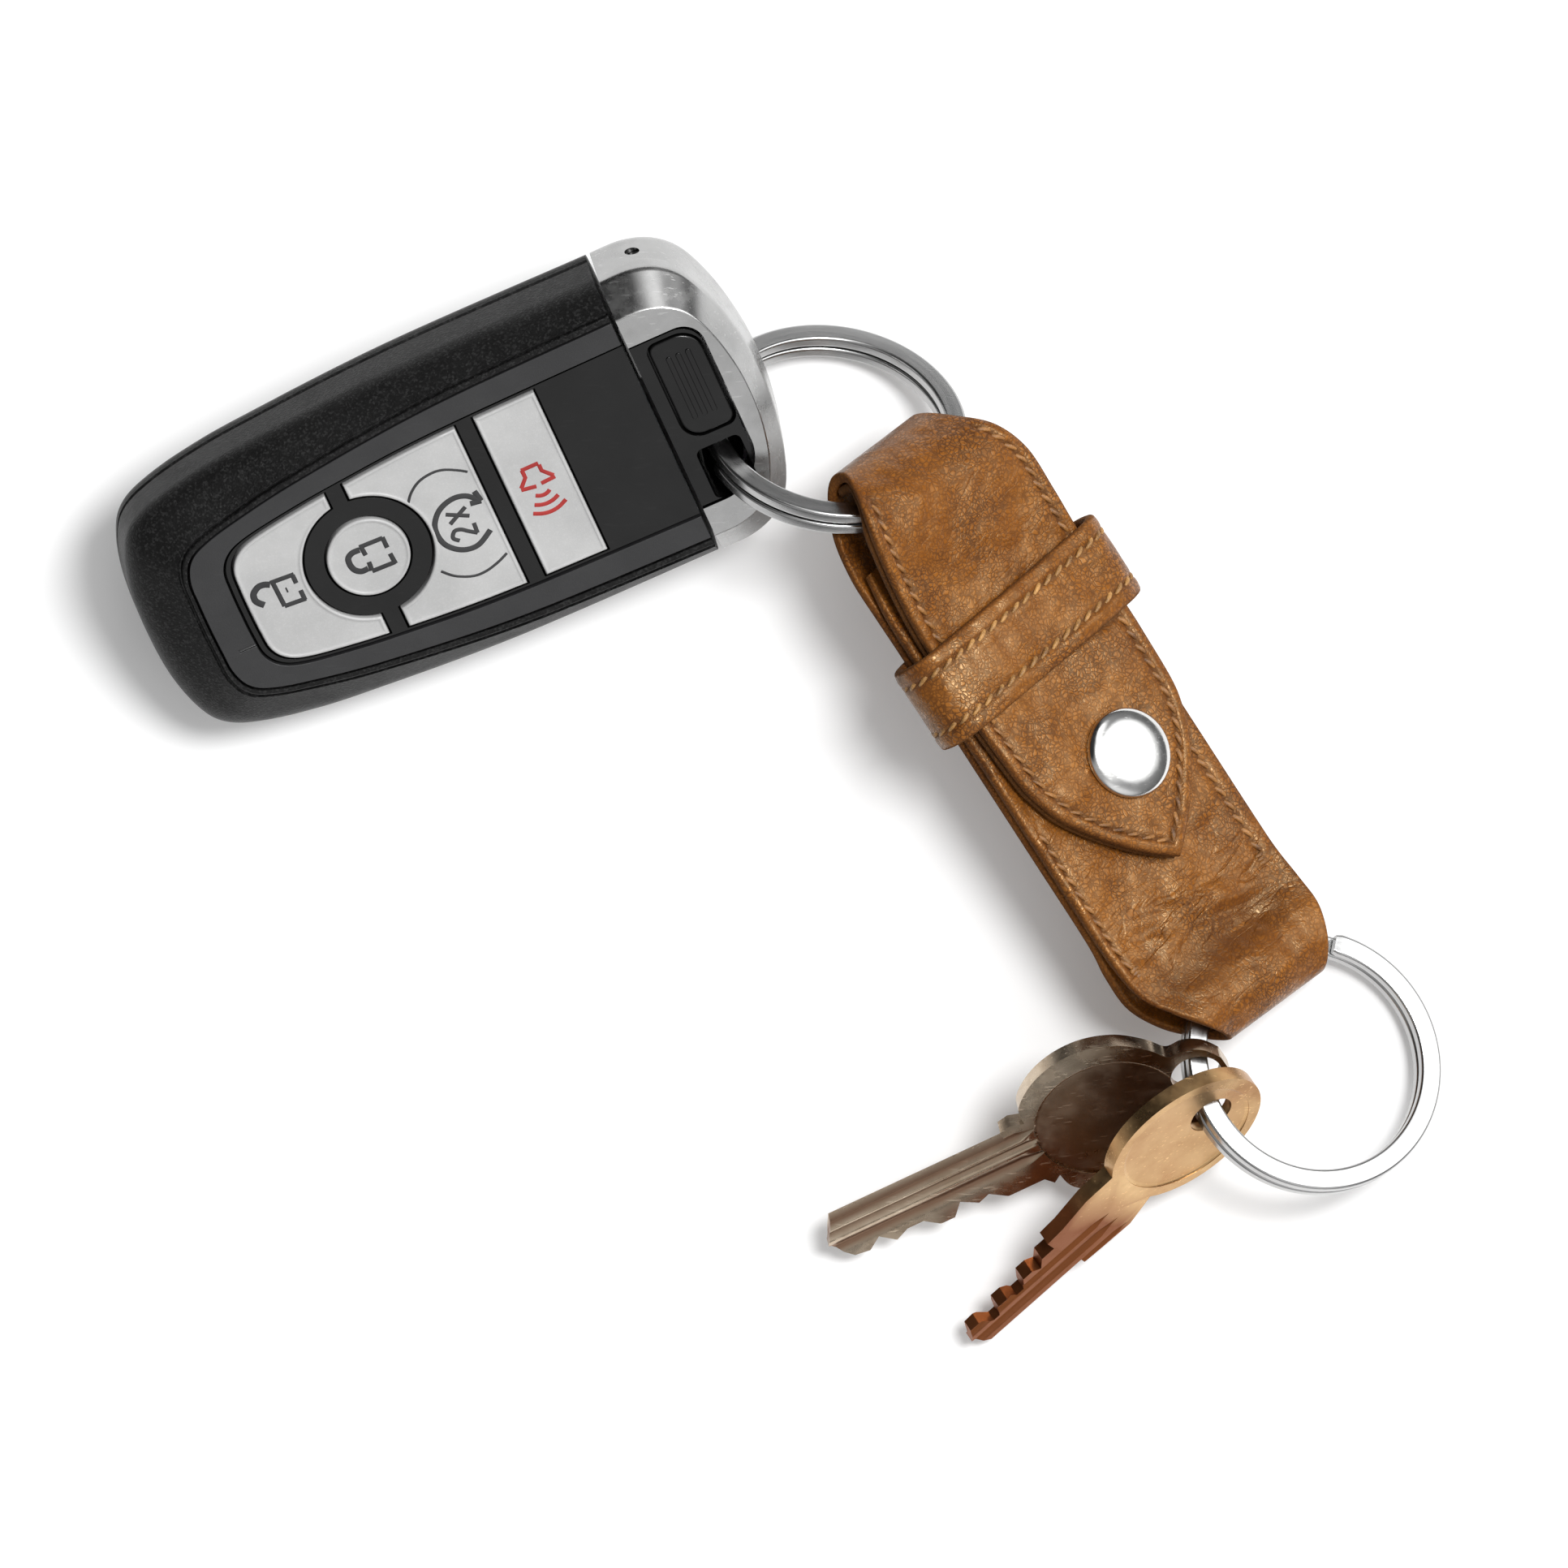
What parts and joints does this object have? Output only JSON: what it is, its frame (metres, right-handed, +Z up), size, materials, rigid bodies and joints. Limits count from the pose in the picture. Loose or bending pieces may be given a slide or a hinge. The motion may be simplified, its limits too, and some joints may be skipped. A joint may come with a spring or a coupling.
{
  "type": "key fob",
  "caption": "Car remote with pull-out key head and a snap-closed leather strap fob, joined by a split ring, with cut keys on a further split ring.",
  "frame": {"origin": "on the ground, under the middle of the bounding box of the set as it lies", "axes": "+Z up; +X along the longest extent, from the remote's tail towards the lower ring; +Y from the keys towards the remote"},
  "size_m": [0.1634, 0.1361, 0.0311],
  "materials": {
    "grained_black_plastic": "grained matte",
    "satin_black_plastic": "satin",
    "gloss_black_plastic": "semi gloss",
    "satin_silver_plastic": "satin silver",
    "keypad_rubber": "matte",
    "board_laminate": "solder mask",
    "chip_plastic": "moulded",
    "coil_copper": "enamelled wire",
    "bright_steel": "bright",
    "brushed_head_steel": "brushed",
    "ring_steel": "brushed",
    "tan_leather": "smooth waxed",
    "leather_lining": "matte",
    "snap_nickel": "polished nickel",
    "key_nickel": "worn nickel plate",
    "key_brass": "worn brass"
  },
  "bodies": {
    "remote": {"lower_shell": "grained_black_plastic", "upper_shell": "grained_black_plastic", "face_bezel": "satin_black_plastic", "button_frame": "gloss_black_plastic", "keypad_membrane": "keypad_rubber", "circuit_board": "board_laminate", "tact_switch_unlock": "bright_steel", "tact_switch_lock": "bright_steel", "tact_switch_start": "bright_steel", "tact_switch_alarm": "bright_steel", "control_chip": "chip_plastic", "antenna_coil": "coil_copper", "coin_cell": "bright_steel", "cell_contact_top": "bright_steel", "cell_contact_bottom": "bright_steel", "blade_sleeve": "chip_plastic"},
    "unlock_button": {"unlock_button": "satin_silver_plastic"},
    "lock_button": {"lock_button": "satin_silver_plastic"},
    "start_button": {"start_button": "satin_silver_plastic"},
    "alarm_button": {"alarm_button": "satin_silver_plastic"},
    "head": {"head_frame": "brushed_head_steel", "head_core": "gloss_black_plastic", "emergency_blade": "brushed_head_steel", "blade_pin": "bright_steel"},
    "release_button": {"release_button": "gloss_black_plastic"},
    "upper_ring": {"upper_split_ring": "ring_steel"},
    "fob": {"strap_leather": "tan_leather", "flap_lining": "leather_lining", "snap_stud": "snap_nickel", "snap_post": "snap_nickel"},
    "keeper": {"keeper_loop": "tan_leather"},
    "flap": {"flap_tip_leather": "tan_leather", "flap_tip_lining": "leather_lining", "snap_cap": "snap_nickel", "snap_socket": "snap_nickel"},
    "lower_ring": {"lower_split_ring": "ring_steel"},
    "nickel_key": {"nickel_key": "key_nickel"},
    "brass_key": {"brass_key": "key_brass"}
  },
  "joints": [
    {"name": "unlock_press", "type": "slide", "parent": "remote", "child": "unlock_button", "axis": [-0.1351, 0.42, -0.8974], "range_m": [0, 0.0004], "stiffness_N_per_m": 450, "springref_m": -0.0002},
    {"name": "lock_press", "type": "slide", "parent": "remote", "child": "lock_button", "axis": [-0.1351, 0.42, -0.8974], "range_m": [0, 0.0004], "stiffness_N_per_m": 450, "springref_m": -0.0002},
    {"name": "start_press", "type": "slide", "parent": "remote", "child": "start_button", "axis": [-0.1351, 0.42, -0.8974], "range_m": [0, 0.0004], "stiffness_N_per_m": 450, "springref_m": -0.0002},
    {"name": "alarm_press", "type": "slide", "parent": "remote", "child": "alarm_button", "axis": [-0.1351, 0.42, -0.8974], "range_m": [0, 0.0004], "stiffness_N_per_m": 450, "springref_m": -0.0002},
    {"name": "head_pull", "type": "slide", "parent": "remote", "child": "head", "axis": [0.9145, 0.4014, 0.0502], "range_m": [0, 0.036]},
    {"name": "release_press", "type": "slide", "parent": "head", "child": "release_button", "axis": [-0.1351, 0.42, -0.8974], "range_m": [0, 0.0005], "stiffness_N_per_m": 450, "springref_m": -0.0002},
    {"name": "upper_ring_swing", "type": "hinge", "parent": "head", "child": "upper_ring", "pos_m": [-0.00773, 0.04216, 0.01837], "axis": [0.344, -0.7081, 0.6167], "range_deg": [-14, 12]},
    {"name": "fob_turn", "type": "hinge", "parent": "upper_ring", "child": "fob", "pos_m": [0.0065, 0.0447, 0.01335], "axis": [0.1297, 0.6863, 0.7157], "range_deg": [-35, 50]},
    {"name": "keeper_slide", "type": "slide", "parent": "fob", "child": "keeper", "axis": [-0.5418, 0.8342, 0.1028], "range_m": [-0.007, 0]},
    {"name": "flap_lift", "type": "hinge", "parent": "fob", "child": "flap", "pos_m": [0.03439, 0.01454, 0.01878], "axis": [-0.7218, -0.5244, 0.4516], "range_deg": [0, 90]},
    {"name": "lower_ring_turn", "type": "hinge", "parent": "fob", "child": "lower_ring", "pos_m": [0.06555, -0.0334, 0.00885], "axis": [0.3099, 0.2509, 0.9171], "range_deg": [-5, 90]},
    {"name": "nickel_key_swing", "type": "hinge", "parent": "lower_ring", "child": "nickel_key", "pos_m": [0.05116, -0.03433, 0.01397], "axis": [0.1396, -0.9661, 0.2172], "range_deg": [-50, 7]},
    {"name": "brass_key_swing", "type": "hinge", "parent": "lower_ring", "child": "brass_key", "pos_m": [0.05276, -0.03933, 0.01479], "axis": [0.4529, -0.8871, 0.0897], "range_deg": [-25, 16]}
  ]
}
